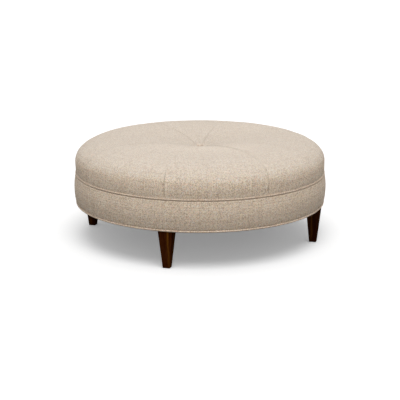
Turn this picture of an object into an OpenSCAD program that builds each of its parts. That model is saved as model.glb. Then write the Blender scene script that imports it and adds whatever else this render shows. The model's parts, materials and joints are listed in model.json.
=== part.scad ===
// Round upholstered ottoman: a tufted cushion over a padded band, on four tapered wooden legs.
// Millimetres, +Z up. The origin is on the floor under the middle, and the legs stand on the diagonals.

/* [Legs] */
// Height from the floor to the underside of the frame, glides included
leg_height = 161; // [110:1:240]
// Width of the square top of a leg
leg_top_w = 61; // [40:0.5:75]
// Width of the square foot of a leg
leg_foot_w = 30.5; // [24:0.5:40]
// How far the outer face of a leg's top stands out past the frame rings
leg_overhang = 7; // [0:0.5:8]
// Width of the eased edges along a leg
leg_ease = 1.2; // [0.4:0.1:3]
// Diameter of a glide under a foot
glide_d = 22; // [14:0.5:23]
// Thickness of a glide under a foot
glide_t = 1.5; // [1:0.5:6]
// Diameter of a glide's nail
glide_nail_d = 2.4; // [1.6:0.1:3.2]
// Length of a glide's nail
glide_nail_l = 14; // [8:1:20]

/* [Leg fixings] */
// Diameter of the hanger bolts
bolt_d = 8; // [6:0.5:10]
// Length of hanger bolt that is screwed into a leg
bolt_in_leg = 38; // [25:1:50]
// Diameter of a T-nut's flange
tnut_flange_d = 22; // [20:0.5:26]
// Thickness of a T-nut's flange
tnut_flange_t = 1.5; // [1:0.1:2.5]
// Outer diameter of a T-nut's barrel
tnut_barrel_d = 11; // [10.8:0.1:12]
// Length of a T-nut's barrel
tnut_barrel_l = 12; // [8:0.5:16]
// Length of a T-nut's prongs
prong_l = 7; // [4:0.5:10]
// Width of the square blocks over the legs
block_w = 90; // [76:1:110]
// Height of the blocks over the legs
block_h = 27; // [20:1:34]

/* [Frame] */
// Outer diameter of the plywood rings
frame_d = 1080; // [960:5:1240]
// Height of the frame over its dust cover
frame_h = 132; // [115:1:190]
// Width of the plywood rings
ring_w = 90; // [70:1:120]
// Thickness of the plywood rings
ring_t = 18; // [15:0.5:24]
// Width of a post along the ring
post_w = 60; // [40:1:80]
// Thickness of a post towards the middle
post_t = 38; // [25:1:50]
// Height of the cross rails
rail_h = 60; // [40:1:70]
// Thickness of the cross rails
rail_t = 20; // [16:1:30]
// Thickness of the hardboard skin round the frame
board_t = 3; // [2:0.5:5]
// Width of the butt joint where the hardboard skin meets itself
board_joint = 2; // [1:0.5:6]
// How far the hardboard skin stops short of the frame's top
board_drop = 4; // [3.5:0.5:10]
// Diameter of the wood screws
screw_d = 4; // [3:0.5:5]
// Length of the wood screws
screw_l = 40; // [32:1:45]
// Distance of the block screws from the edges that they hold
screw_edge = 20; // [12:1:26]

/* [Upholstery] */
// Thickness of the cover fabric
fabric_t = 1; // [0.8:0.1:1.5]
// Diameter of the welts
welt_d = 9.5; // [8:0.1:12]
// Width of the flange by which a welt is held
welt_flange_w = 14; // [10:0.5:18]
// How far the band's belly stands out past the middle line of the welts
band_reach = 10.35; // [8:0.05:20]
// How much the band swells between its edges and its belly
band_bulge = 6; // [3:0.5:8]
// Thickness of the dust cover
dust_cover_t = 1; // [0.6:0.1:1.5]
// How far the staples lie from the dust cover's edge
staple_inset = 8; // [6:0.5:14]
// Width of a staple
staple_w = 11; // [8:0.5:13]
// Length of a staple's legs
staple_l = 8; // [5:0.5:12]

/* [Cushion] */
// How far the cushion's side stands out past the middle line of the welts
cushion_reach = 2.8; // [2:0.1:8]
// Height from the seat welt to the widest place of the cushion's side
side_h = 47; // [30:1:70]
// How far the side draws in from there to the welt
side_draw = 0.9; // [0.5:0.1:2]
// How far in from the side the round shoulder reaches
shoulder_w = 180; // [120:5:240]
// Height of the round shoulder
shoulder_h = 91; // [75:1:130]
// Fullness of the shoulder, 2 is an ellipse and more is squarer
shoulder_full = 2.3; // [1.9:0.05:3]
// Rise of the crown over the shoulder
crown_h = 11; // [4:1:25]
// Depth of a sewn seam under the panels beside it
seam_depth = 3; // [2.8:0.1:5]
// Sharpness of the seams, more leaves the panels flatter
seam_sharp = 6; // [4:1:10]
// Depth of the tuft in the middle
tuft_depth = 50; // [20:1:60]
// Radius of the hollow that the tuft draws in
tuft_r = 380; // [150:5:400]
// Sharpness of that hollow towards its middle, 1 is a plain cone
tuft_sharp = 2; // [1:0.1:3.5]
// How much deeper the seams lie within that hollow
tuft_pinch = 3; // [0:0.5:6]
// Thickness of the batting
batting_t = 10; // [6:0.5:14]
// Thickness of the burlap sheet
burlap_t = 0.8; // [0.5:0.1:1.2]
// Diameter of the covered button
button_d = 28; // [22:0.5:36]
// Height of the covered button
button_h = 11; // [6:0.5:12]
// Diameter of the tufting twine
twine_d = 2.5; // [1.5:0.1:4]
// Diameter of the back button under the webbing
back_button_d = 32; // [24:1:44]
// Thickness of the back button
back_button_t = 4; // [3:0.5:6]

/* [Webbing] */
// Width of a webbing strap
web_w = 50; // [30:1:60]
// Thickness of a webbing strap
web_t = 1.2; // [0.8:0.1:1.6]
// How far the straps' corners stay inside the frame's edge
web_inset = 16; // [15.5:0.5:24]
// Length over which a strap climbs onto the one that it crosses
web_ramp = 12; // [6:0.5:12]

/* [Hidden] */
$fn = 96;

// Colours
fabric_colour = [0.80, 0.74, 0.67];
wood_colour = [0.17, 0.07, 0.02];
ply_colour = [0.80, 0.66, 0.46];
pine_colour = [0.86, 0.74, 0.53];
board_colour = [0.48, 0.34, 0.22];
steel_colour = [0.72, 0.73, 0.75];
foam_colour = [0.93, 0.89, 0.72];
fibre_colour = [0.93, 0.93, 0.91];
jute_colour = [0.66, 0.53, 0.35];
black_colour = [0.08, 0.08, 0.08];

// Clearances
fit_gap = 0.3;
bolt_gap = 0.2;
wood_gap = 0.2;
cut_past = 1;
hem_clear = 4.5;
button_lap = 4;

// Angles of the four legs in the order of their names, and of the eight posts and panels
leg_angles = [225, 315, 135, 45];
post_count = 8;
panel_angle = 45;
staple_count = 32;

// Heights, from the floor up
frame_z = leg_height + dust_cover_t;
frame_top = frame_z + frame_h;
post_h = frame_h - 2 * ring_t;
block_top = frame_z + ring_t + block_h;
base_welt_z = leg_height + welt_d / 2;
web_low_z = frame_top;
web_high_z = web_low_z + web_t + fit_gap;
burlap_z = web_high_z + web_t + fit_gap;
foam_z = burlap_z + burlap_t + fit_gap;
seat_flange_t = 1.2 * fabric_t;
seat_flange_z = frame_top + fabric_t + fit_gap;
seat_welt_z = seat_flange_z + seat_flange_t / 2;
side_z = seat_welt_z + welt_d / 2 + side_h;
crown_z = side_z + shoulder_h + crown_h;

// Radii, from the frame outwards
frame_r = frame_d / 2;
leg_r = frame_r + leg_overhang - leg_top_w / 2;
board_r = frame_r + fit_gap;
hem_r = board_r + board_t + fit_gap;
welt_r = welt_d / 2;
welt_x = hem_r + fabric_t + fit_gap + welt_r;
welt_wall = fabric_t;
cord_r = welt_r - welt_wall - fit_gap;
cushion_r = welt_x + cushion_reach;
belly_r = welt_x + band_reach;
flange_r = welt_x - welt_r - welt_flange_w;
dust_cover_r = flange_r - fit_gap;
staple_r = dust_cover_r - staple_inset;
web_end_r = frame_r - web_inset;
web_pitch = (web_end_r - web_w) / 3.65;
web_side = 3;
post_face = sqrt(pow(frame_r, 2) - pow(post_w / 2, 2)) - fit_gap;
block_face = sqrt(pow(frame_r, 2) - pow(block_w / 2, 2)) - fit_gap;

// Geometry helpers for outlines drawn as radius and height
function unit(v) = v / norm(v);
function left_of(a, b) = let (d = unit(b - a)) [-d.y, d.x];
function mitre(path, i) =
    let (
        last = len(path) - 1,
        before = left_of(path[max(i - 1, 0)], path[max(i, 1)]),
        after = left_of(path[min(i, last - 1)], path[min(i + 1, last)])
    )
    (before + after) / (1 + before * after);
function inset(path, depths) = [for (i = [0:len(path) - 1]) path[i] + depths[i] * mitre(path, i)];
function evenly(path, depth) = [for (p = path) depth];
function reversed(list) = [for (i = [len(list) - 1:-1:0]) list[i]];
function around_welt(height, reach, angle) = [welt_x + reach * cos(angle), height + reach * sin(angle)];

// Outline of the band's cover: up behind the base welt, over the belly and in behind the seat welt
band_low = base_welt_z + welt_r + 2.5;
band_high = seat_welt_z - welt_r - 2.5;
band_mid = (band_low + band_high) / 2;
band_half = (band_high - band_low) / 2;
band_arc_r = (pow(band_half, 2) + pow(band_bulge, 2)) / (2 * band_bulge);
band_steps = 12;
hem_turn = 65;
hem_reach = (welt_r + fit_gap) / cos(hem_turn / 2);
function band_arc(radius, z_low, z_high) = [
    for (i = [0:band_steps])
        let (z = z_low + (z_high - z_low) * i / band_steps)
        [belly_r - band_arc_r + sqrt(pow(radius, 2) - pow(z - band_mid, 2)), z]
];
band_outline = concat(
    [
        [hem_r + fabric_t, frame_z + fit_gap],
        [hem_r + fabric_t, base_welt_z + welt_r * 0.6],
        around_welt(base_welt_z, hem_reach, 90 + hem_turn / 4)
    ],
    band_arc(band_arc_r, band_low, band_high),
    [
        around_welt(seat_welt_z, hem_reach, 194 + hem_turn),
        around_welt(seat_welt_z, hem_reach, 194)
    ]
);

// Outline of the cushion's cover: from its hem behind the seat welt, up the side, over the shoulder to the tuft
shoulder_steps = 4;
top_r = cushion_r - shoulder_w;
top_shares = [2 / 3, 1 / 3];
tuft_end_r = button_d / 2 - button_lap;
function crown(r) = crown_h * (1 - pow(r / cushion_r, 2));
function hollow(r) = r < tuft_r ? tuft_depth * pow(1 - r / tuft_r, tuft_sharp) : 0;
function top_z(r) = side_z + shoulder_h + crown(r) - hollow(r);
function shoulder_point(angle) =
    let (r = top_r + shoulder_w * pow(cos(angle), 2 / shoulder_full))
    [r, top_z(r) - shoulder_h * (1 - pow(sin(angle), 2 / shoulder_full))];
seat_outline = concat(
    [
        around_welt(seat_welt_z, hem_reach, 170),
        around_welt(seat_welt_z, hem_reach, 170 - hem_turn),
        [cushion_r - side_draw, seat_welt_z + welt_r + 3]
    ],
    [for (i = [0:shoulder_steps]) shoulder_point(90 * i / shoulder_steps)],
    [for (share = top_shares) [top_r * share, top_z(top_r * share)]],
    [[tuft_end_r, top_z(tuft_end_r)]]
);
side_index = 3;
seat_last = len(seat_outline) - 1;

// Steps across a panel, closer together towards its seams, and how far in the flat faces bring the hem
panel_steps = 6;
function across(step) = (1 - cos(180 * step / panel_steps)) / 2;
widest_step = panel_angle * (across(panel_steps / 2) - across(panel_steps / 2 - 1));
hem_end_r = (seat_outline[0].x - fabric_t) * cos(widest_step / 2);

// Seams: how deep each point of the outline lies along them
function seam_drop(r) = seam_depth + (r < tuft_r ? tuft_pinch * sin(180 * r / tuft_r) : 0);
seam_drops = [
    for (i = [0:seat_last])
        i < side_index - 1 ? 0 : i < side_index ? seam_depth / 2 : seam_drop(seat_outline[i].x)
];

// The button sits on the panels where its rim meets them
slope = (seat_outline[seat_last - 1].y - seat_outline[seat_last].y)
    / (seat_outline[seat_last - 1].x - seat_outline[seat_last].x);
button_z = seat_outline[seat_last].y + slope * (button_d / 2 - seat_outline[seat_last].x) + fit_gap;
button_eye_h = 4;

// One tapered square leg, as two crossing tapers with the four edges eased by a third and a fourth
module taper(foot_w, top_w, height) {
    rotate([90, 0, 0])
        linear_extrude(top_w * 2, center = true)
            polygon([
                [-foot_w / 2, 0],
                [foot_w / 2, 0],
                [top_w / 2, height],
                [-top_w / 2, height]
            ]);
}

module leg() {
    height = leg_height - glide_t;
    foot_diag = leg_foot_w * sqrt(2) - leg_ease * 2;
    top_diag = leg_top_w * sqrt(2) - leg_ease * 2;
    color(wood_colour)
        difference() {
            translate([0, 0, glide_t])
                intersection() {
                    taper(leg_foot_w, leg_top_w, height);
                    rotate([0, 0, 90])
                        taper(leg_foot_w, leg_top_w, height);
                    rotate([0, 0, 45])
                        taper(foot_diag, top_diag, height);
                    rotate([0, 0, 135])
                        taper(foot_diag, top_diag, height);
                }
            translate([0, 0, leg_height - bolt_in_leg - cut_past])
                cylinder(h = bolt_in_leg + 2 * cut_past, d = bolt_d + 2 * bolt_gap);
            cylinder(h = glide_t + glide_nail_l + cut_past, d = glide_nail_d + 2 * bolt_gap);
        }
}

module glide() {
    ease = glide_t / 3;
    color(black_colour)
        union() {
            cylinder(h = ease, d1 = glide_d - 2 * ease, d2 = glide_d);
            translate([0, 0, ease])
                cylinder(h = glide_t - ease, d = glide_d);
            cylinder(h = glide_t + glide_nail_l, d = glide_nail_d);
        }
}

// Places a child at one leg, with +X pointing outwards
module at_leg(index, radius = leg_r) {
    rotate([0, 0, leg_angles[index]])
        translate([radius, 0, 0])
            children();
}

// Wood screw with a countersunk head, its point down and its head flush with z = 0
module screw() {
    head_h = screw_d;
    point_h = screw_d * 1.5;
    translate([0, 0, -head_h])
        cylinder(h = head_h, d1 = screw_d, d2 = screw_d * 2);
    translate([0, 0, -screw_l + point_h])
        cylinder(h = screw_l - point_h - head_h, d = screw_d);
    translate([0, 0, -screw_l])
        cylinder(h = point_h, d1 = 0.6, d2 = screw_d);
}

// The hole that a wood screw runs in
module screw_hole() {
    hole_d = screw_d + 2 * bolt_gap;
    head_h = screw_d;
    translate([0, 0, -head_h - bolt_gap])
        cylinder(h = head_h + bolt_gap, d1 = hole_d, d2 = screw_d * 2 + 2 * bolt_gap);
    translate([0, 0, -screw_l - cut_past])
        cylinder(h = screw_l + cut_past, d = hole_d);
}

// Places children at the eight posts, with +X pointing outwards
module at_post(index) {
    rotate([0, 0, (index + 0.5) * 360 / post_count])
        translate([post_face - post_t / 2, 0, 0])
            children();
}

// Every screw between the rings and the posts: from below at the base ring, from above at the top ring
module at_frame_screws() {
    for (index = [0:post_count - 1]) {
        at_post(index)
            translate([0, 0, frame_z])
                mirror([0, 0, 1])
                    children();
        at_post(index)
            translate([0, 0, frame_top])
                children();
    }
}

// Two screws through the inner part of each block
module at_block_screws() {
    screw_x = max(frame_r - ring_w, block_face - block_w) + screw_edge;
    screw_y = block_w / 2 - screw_edge;
    for (index = [0:3], side = [-1, 1])
        at_leg(index, screw_x)
            translate([0, side * screw_y, block_top])
                children();
}

module leg_block(index) {
    bore_d = bolt_d + 4 * bolt_gap;
    color(pine_colour)
        difference() {
            at_leg(index, block_face - block_w / 2)
                translate([-block_w / 2, -block_w / 2, frame_z + ring_t])
                    cube([block_w, block_w, block_h]);
            at_leg(index)
                translate([0, 0, frame_z])
                    cylinder(h = frame_h, d = bore_d);
            at_leg(index)
                translate([0, 0, block_top - tnut_barrel_l - cut_past])
                    cylinder(h = tnut_barrel_l + 2 * cut_past, d = tnut_barrel_d + 2 * bolt_gap);
            at_leg(index)
                prongs(bolt_gap);
            at_block_screws()
                screw_hole();
        }
}

// The four prongs of a T-nut, grown by a clearance for the slots that they go in
module prongs(grow) {
    prong_w = 3 + 2 * grow;
    prong_t = 1.2 + 2 * grow;
    prong_x = (tnut_flange_d + tnut_barrel_d) / 4 + bolt_gap;
    for (turn = [0:90:270])
        rotate([0, 0, turn])
            translate([prong_x - prong_t / 2, -prong_w / 2, block_top - prong_l - grow])
                cube([prong_t, prong_w, prong_l + 2 * grow]);
}

module t_nuts() {
    color(steel_colour)
        for (index = [0:3])
            at_leg(index)
                difference() {
                    union() {
                        translate([0, 0, block_top])
                            cylinder(h = tnut_flange_t, d = tnut_flange_d);
                        translate([0, 0, block_top - tnut_barrel_l])
                            cylinder(h = tnut_barrel_l + tnut_flange_t / 2, d = tnut_barrel_d);
                        prongs(0);
                    }
                    translate([0, 0, block_top - tnut_barrel_l - cut_past])
                        cylinder(h = tnut_barrel_l + tnut_flange_t + 2 * cut_past, d = bolt_d + 2 * bolt_gap);
                }
}

module hanger_bolts() {
    point_h = bolt_d;
    low_z = leg_height - bolt_in_leg;
    color(steel_colour)
        for (index = [0:3])
            at_leg(index) {
                translate([0, 0, low_z])
                    cylinder(h = point_h, d1 = bolt_d / 3, d2 = bolt_d);
                translate([0, 0, low_z + point_h])
                    cylinder(h = block_top - low_z - point_h, d = bolt_d);
            }
}

module block_screws() {
    color(steel_colour)
        at_block_screws()
            screw();
}

module frame_screws() {
    color(steel_colour)
        at_frame_screws()
            screw();
}

// Plywood ring whose underside is at the given height
module plywood_ring(height) {
    translate([0, 0, height])
        difference() {
            cylinder(h = ring_t, r = frame_r, $fn = 180);
            translate([0, 0, -cut_past])
                cylinder(h = ring_t + 2 * cut_past, r = frame_r - ring_w, $fn = 180);
        }
}

module base_ring() {
    color(ply_colour)
        difference() {
            plywood_ring(frame_z);
            for (index = [0:3])
                at_leg(index)
                    translate([0, 0, frame_z - cut_past])
                        cylinder(h = ring_t + 2 * cut_past, d = bolt_d + 4 * bolt_gap);
            at_frame_screws()
                screw_hole();
            at_block_screws()
                screw_hole();
            staple_legs(bolt_gap);
        }
}

module top_ring() {
    color(ply_colour)
        difference() {
            plywood_ring(frame_top - ring_t);
            at_frame_screws()
                screw_hole();
        }
}

module frame_post(index) {
    color(pine_colour)
        difference() {
            at_post(index)
                translate([-post_t / 2, -post_w / 2, frame_z + ring_t])
                    cube([post_t, post_w, post_h]);
            at_frame_screws()
                screw_hole();
        }
}

// One cross rail along X, halved at its middle from the side that is given
module rail(notch_up) {
    rail_l = 2 * (frame_r - ring_w / 4);
    notch_w = rail_t + 2 * wood_gap;
    translate([0, 0, frame_z + ring_t])
        difference() {
            translate([-rail_l / 2, -rail_t / 2, 0])
                cube([rail_l, rail_t, rail_h]);
            translate([-notch_w / 2, -rail_t, notch_up ? rail_h / 2 : -cut_past])
                cube([notch_w, rail_t * 2, rail_h / 2 + cut_past]);
        }
}

module rail_lengthwise() {
    color(pine_colour)
        rail(true);
}

module rail_crosswise() {
    color(pine_colour)
        rotate([0, 0, 90])
            rail(false);
}

module apron_board() {
    board_top = frame_top - board_drop;
    color(board_colour)
        difference() {
            translate([0, 0, frame_z])
                cylinder(h = board_top - frame_z, r = board_r + board_t, $fn = 180);
            translate([0, 0, frame_z - cut_past])
                cylinder(h = frame_h, r = board_r, $fn = 180);
            rotate([0, 0, (post_count / 4 + 0.5) * 360 / post_count])
                translate([board_r - board_t, -board_joint / 2, frame_z - cut_past])
                    cube([board_t * 3, board_joint, frame_h]);
        }
}

// The legs of all the staples, grown by a clearance for the slots that they go in
module staple_legs(grow) {
    wire_w = 1.3 + 2 * grow;
    wire_t = 0.7 + 2 * grow;
    for (index = [0:staple_count - 1], side = [-1, 1])
        rotate([0, 0, (index + 0.5) * 360 / staple_count])
            translate([staple_r, side * (staple_w - 0.7) / 2, 0])
                translate([-wire_w / 2, -wire_t / 2, leg_height - grow])
                    cube([wire_w, wire_t, staple_l + 2 * grow]);
}

module dust_cover_staples() {
    crown_t = 0.6;
    color(steel_colour) {
        staple_legs(0);
        for (index = [0:staple_count - 1])
            rotate([0, 0, (index + 0.5) * 360 / staple_count])
                translate([staple_r - 0.65, -staple_w / 2, leg_height - crown_t])
                    cube([1.3, staple_w, crown_t]);
    }
}

module dust_cover() {
    color(black_colour)
        difference() {
            translate([0, 0, leg_height])
                cylinder(h = dust_cover_t, r = dust_cover_r, $fn = 180);
            for (index = [0:3])
                at_leg(index)
                    translate([0, 0, leg_height - cut_past])
                        cylinder(h = dust_cover_t + 2 * cut_past, d = bolt_d + 4 * bolt_gap);
            staple_legs(bolt_gap);
        }
}

// Fabric tube of a welt with its flange, drawn as radius and height
module welt_section(flange_low, flange_t, flange_end) {
    difference() {
        union() {
            translate([welt_x, 0])
                circle(r = welt_r, $fn = 48);
            translate([flange_r, flange_low])
                square([flange_end - flange_r, flange_t]);
        }
        translate([welt_x, 0])
            circle(r = welt_r - welt_wall, $fn = 48);
    }
}

module welt_cord(height) {
    translate([0, 0, height])
        rotate_extrude($fn = 180)
            translate([welt_x, 0])
                circle(r = cord_r, $fn = 48);
}

module base_welt() {
    color(fabric_colour)
        translate([0, 0, base_welt_z])
            rotate_extrude($fn = 180)
                welt_section(-welt_r, dust_cover_t, welt_x - welt_r / 3);
}

module base_welt_cord() {
    color(fibre_colour)
        welt_cord(base_welt_z);
}

module seat_welt() {
    color(fabric_colour)
        translate([0, 0, seat_welt_z])
            rotate_extrude($fn = 180)
                welt_section(-seat_flange_t / 2, seat_flange_t, welt_x - welt_r + welt_wall / 2);
}

module seat_welt_cord() {
    color(fibre_colour)
        welt_cord(seat_welt_z);
}

module band_cover() {
    color(fabric_colour)
        rotate_extrude($fn = 180)
            polygon(concat(band_outline, reversed(inset(band_outline, evenly(band_outline, fabric_t)))));
}

module band_padding() {
    ease = 2;
    low = band_low + ease;
    high = band_high - ease;
    color(fibre_colour)
        rotate_extrude($fn = 180)
            polygon(concat(
                [[hem_r, low]],
                band_arc(band_arc_r - fabric_t - fit_gap, low, high),
                [[hem_r, high]]
            ));
}

// One webbing strap along X. It goes over each strap across it whose number, with its own, is odd or even
module web_strap(row, over_even) {
    half_l = sqrt(pow(web_end_r, 2) - pow(abs(row) * web_pitch + web_w / 2, 2));
    flat_half = web_w / 2 + web_ramp / 3;
    over = [
        for (column = [-web_side:web_side])
            if (abs(column) * web_pitch + web_w / 2 < half_l && ((row + column) % 2 == 0) == over_even)
                column * web_pitch
    ];
    line = concat(
        [[-half_l, web_low_z]],
        [
            for (x = over)
                each [
                    [x - flat_half - web_ramp, web_low_z],
                    [x - flat_half, web_high_z],
                    [x + flat_half, web_high_z],
                    [x + flat_half + web_ramp, web_low_z]
                ]
        ],
        [[half_l, web_low_z]]
    );
    translate([0, row * web_pitch, 0])
        rotate([90, 0, 0])
            linear_extrude(web_w, center = true)
                polygon(concat(line, [for (p = reversed(line)) p + [0, web_t]]));
}

// The hole that the twine goes through in every layer of the seat
module twine_hole() {
    cylinder(h = crown_z, d = twine_d + 2 * fit_gap);
}

module webbing_lengthwise() {
    color(jute_colour)
        difference() {
            for (row = [-web_side:web_side])
                web_strap(row, false);
            twine_hole();
        }
}

module webbing_crosswise() {
    color(jute_colour)
        difference() {
            rotate([0, 0, 90])
                for (row = [-web_side:web_side])
                    web_strap(row, true);
            twine_hole();
        }
}

module burlap_sheet() {
    color(jute_colour)
        difference() {
            translate([0, 0, burlap_z])
                cylinder(h = burlap_t, r = flange_r - fit_gap, $fn = 180);
            twine_hole();
        }
}

// Upper outline of the padding at a depth under the cover, from the side to the tuft
function pad_outline(depth) = [
    for (i = [side_index:seat_last])
        seat_outline[i] + (depth + seam_drops[i]) * mitre(seat_outline, i)
];
pad_depth = fabric_t + fit_gap;
pad_low_z = seat_welt_z + welt_r + hem_clear;

module batting() {
    outer = pad_outline(pad_depth);
    inner = pad_outline(pad_depth + batting_t);
    color(fibre_colour)
        rotate_extrude($fn = 180)
            polygon(concat(
                [[inner[0].x, pad_low_z], [outer[0].x - side_draw, pad_low_z]],
                outer,
                reversed(inner)
            ));
}

module foam_core() {
    outline = pad_outline(pad_depth + batting_t + fit_gap);
    hole_r = twine_d / 2 + fit_gap;
    low_r = min(outline[0].x, hem_end_r - fit_gap);
    color(foam_colour)
        rotate_extrude($fn = 180)
            polygon(concat(
                [[hole_r, foam_z], [low_r, foam_z], [low_r, pad_low_z]],
                outline,
                [[hole_r, outline[len(outline) - 1].y - hole_r]]
            ));
}

// One wedge of the cushion's cover, as a thin sewn shell that dips to its seams
function seam_share(step) = pow(abs(2 * across(step) - 1), seam_sharp);
function skin(first, depth) = [
    for (i = [0:seat_last], step = [0:panel_steps])
        let (
            p = seat_outline[i] + (depth + seam_drops[i] * seam_share(step)) * mitre(seat_outline, i),
            angle = (first + across(step)) * panel_angle
        )
        [p.x * cos(angle), p.x * sin(angle), p.y]
];

module seat_panel(number) {
    row = panel_steps + 1;
    under = row * (seat_last + 1);
    top_end = seat_last * row;
    color(fabric_colour)
        polyhedron(
            points = concat(skin(number - 1, 0), skin(number - 1, fabric_t)),
            faces = concat(
                [
                    for (i = [0:seat_last - 1], j = [0:panel_steps - 1])
                        let (a = i * row + j)
                        each [[a, a + row, a + row + 1], [a, a + row + 1, a + 1]]
                ],
                [
                    for (i = [0:seat_last - 1], j = [0:panel_steps - 1])
                        let (a = under + i * row + j)
                        each [[a, a + row + 1, a + row], [a, a + 1, a + row + 1]]
                ],
                [
                    for (i = [0:seat_last - 1])
                        let (a = i * row, b = a + under)
                        each [[b, b + row, a + row], [b, a + row, a]]
                ],
                [
                    for (i = [0:seat_last - 1])
                        let (a = i * row + panel_steps, b = a + under)
                        each [[b, a + row, b + row], [b, a, a + row]]
                ],
                [
                    for (j = [0:panel_steps - 1])
                        each [[j, j + 1, under + j + 1], [j, under + j + 1, under + j]]
                ],
                [
                    for (j = [0:panel_steps - 1])
                        let (a = top_end + j, b = a + under)
                        each [[a + 1, a, b], [a + 1, b, b + 1]]
                ]
            )
        );
}

module tuft_button() {
    dome_r = (pow(button_d / 2, 2) + pow(button_h, 2)) / (2 * button_h);
    color(fabric_colour)
        translate([0, 0, button_z])
            difference() {
                intersection() {
                    translate([0, 0, button_h - dome_r])
                        sphere(r = dome_r, $fn = 64);
                    cylinder(h = button_h + cut_past, d = button_d + 2 * cut_past);
                }
                translate([0, 0, -cut_past])
                    cylinder(h = button_eye_h + cut_past, d = twine_d + 2 * fit_gap);
            }
}

module back_button() {
    ease = back_button_t / 4;
    color(black_colour)
        translate([0, 0, web_low_z - fit_gap - back_button_t])
            difference() {
                union() {
                    cylinder(h = ease, d1 = back_button_d - 2 * ease, d2 = back_button_d);
                    translate([0, 0, ease])
                        cylinder(h = back_button_t - ease, d = back_button_d);
                }
                translate([0, 0, -cut_past])
                    cylinder(h = back_button_t + 2 * cut_past, d = twine_d + 2 * fit_gap);
            }
}

module tuft_twine() {
    knot_h = twine_d;
    low_z = web_low_z - fit_gap - back_button_t;
    color(fibre_colour) {
        translate([0, 0, low_z - knot_h])
            cylinder(h = knot_h, d = twine_d * 2.2);
        translate([0, 0, low_z - knot_h / 2])
            cylinder(h = button_z + button_eye_h - fit_gap - low_z + knot_h / 2, d = twine_d);
    }
}

at_leg(0) leg();  // leg_front_left
at_leg(1) leg();  // leg_front_right
at_leg(2) leg();  // leg_back_left
at_leg(3) leg();  // leg_back_right
at_leg(0) glide();  // glide_front_left
at_leg(1) glide();  // glide_front_right
at_leg(2) glide();  // glide_back_left
at_leg(3) glide();  // glide_back_right
leg_block(0);  // leg_block_front_left
leg_block(1);  // leg_block_front_right
leg_block(2);  // leg_block_back_left
leg_block(3);  // leg_block_back_right
hanger_bolts();
t_nuts();
block_screws();
frame_screws();
base_ring();
top_ring();
apron_board();
rail_lengthwise();
rail_crosswise();
frame_post(0);  // frame_post_1
frame_post(1);  // frame_post_2
frame_post(2);  // frame_post_3
frame_post(3);  // frame_post_4
frame_post(4);  // frame_post_5
frame_post(5);  // frame_post_6
frame_post(6);  // frame_post_7
frame_post(7);  // frame_post_8
dust_cover();
dust_cover_staples();
base_welt();
base_welt_cord();
band_padding();
band_cover();
seat_welt();
seat_welt_cord();
webbing_lengthwise();
webbing_crosswise();
burlap_sheet();
foam_core();
batting();
seat_panel(1);  // seat_panel_1
seat_panel(2);  // seat_panel_2
seat_panel(3);  // seat_panel_3
seat_panel(4);  // seat_panel_4
seat_panel(5);  // seat_panel_5
seat_panel(6);  // seat_panel_6
seat_panel(7);  // seat_panel_7
seat_panel(8);  // seat_panel_8
tuft_button();
tuft_twine();
back_button();
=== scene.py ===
# Round ottoman: the dressed cushion, band, welts, button and dust cover, and a finish for all pieces
import json
import math

import bpy
import numpy as np
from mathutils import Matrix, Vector


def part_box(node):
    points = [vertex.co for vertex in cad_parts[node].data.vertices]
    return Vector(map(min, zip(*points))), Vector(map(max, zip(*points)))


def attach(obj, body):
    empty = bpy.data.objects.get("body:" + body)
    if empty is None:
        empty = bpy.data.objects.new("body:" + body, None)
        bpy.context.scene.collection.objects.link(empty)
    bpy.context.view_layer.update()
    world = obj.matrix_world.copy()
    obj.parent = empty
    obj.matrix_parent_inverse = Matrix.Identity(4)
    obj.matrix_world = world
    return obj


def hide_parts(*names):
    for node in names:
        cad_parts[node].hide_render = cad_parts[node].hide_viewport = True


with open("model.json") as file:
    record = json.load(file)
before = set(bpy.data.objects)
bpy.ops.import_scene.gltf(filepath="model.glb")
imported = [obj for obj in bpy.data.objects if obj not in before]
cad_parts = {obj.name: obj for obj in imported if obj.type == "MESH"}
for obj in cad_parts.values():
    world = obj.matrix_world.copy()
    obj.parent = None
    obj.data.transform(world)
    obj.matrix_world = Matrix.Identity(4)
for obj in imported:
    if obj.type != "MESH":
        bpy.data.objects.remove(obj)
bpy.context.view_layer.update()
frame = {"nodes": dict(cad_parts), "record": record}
print("frame loaded,", len(frame["nodes"]), "nodes")

scene = bpy.context.scene
scene.view_settings.view_transform = "Standard"

# camera and studio

cameraSetup = {
    "azimuth": -30.0,  # degrees, 0 looks along +Y
    "elevation": 14.66,  # degrees above the floor
    "distance": 4.6702,  # metres from the point it looks at
    "aimHeight": 0.1536,
    "lens": 93.22,  # mm, on a sensor 36 mm wide
}

studio = {
    "roomLight": 0.57,  # light from all round; the lamps add the rest, so that a level top gets nearly 1
    "lamps": {  # both are wide, for soft shadows; lean is in degrees from upright, towards the camera
        "overhead": {"power": 1.36, "spread": 40.0, "lean": 23.0, "swing": 4.0},
        "front": {"power": 0.46, "spread": 42.0, "lean": 78.0, "swing": 4.0},
    },
    "floorSize": 40.0,
    "floorColour": (0.92, 0.92, 0.92),
    "floorBounce": (0.045, 0.034, 0.028),  # the floor as the object's undersides see it
    "floorGlow": 0.227,  # only what the camera sees gets this, so that the open floor is white
}


def placeCamera(setup):
    azimuth = math.radians(setup["azimuth"])
    elevation = math.radians(setup["elevation"])
    back = Vector((
        math.sin(azimuth) * math.cos(elevation),
        -math.cos(azimuth) * math.cos(elevation),
        math.sin(elevation),
    ))
    data = bpy.data.cameras.new("camera")
    data.sensor_width = 36
    data.lens = setup["lens"]
    camera = bpy.data.objects.new("camera", data)
    camera.location = Vector((0, 0, setup["aimHeight"])) + back * setup["distance"]
    camera.rotation_mode = "QUATERNION"
    camera.rotation_quaternion = (-back).to_track_quat("-Z", "Y")
    scene.collection.objects.link(camera)
    scene.camera = camera


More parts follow.
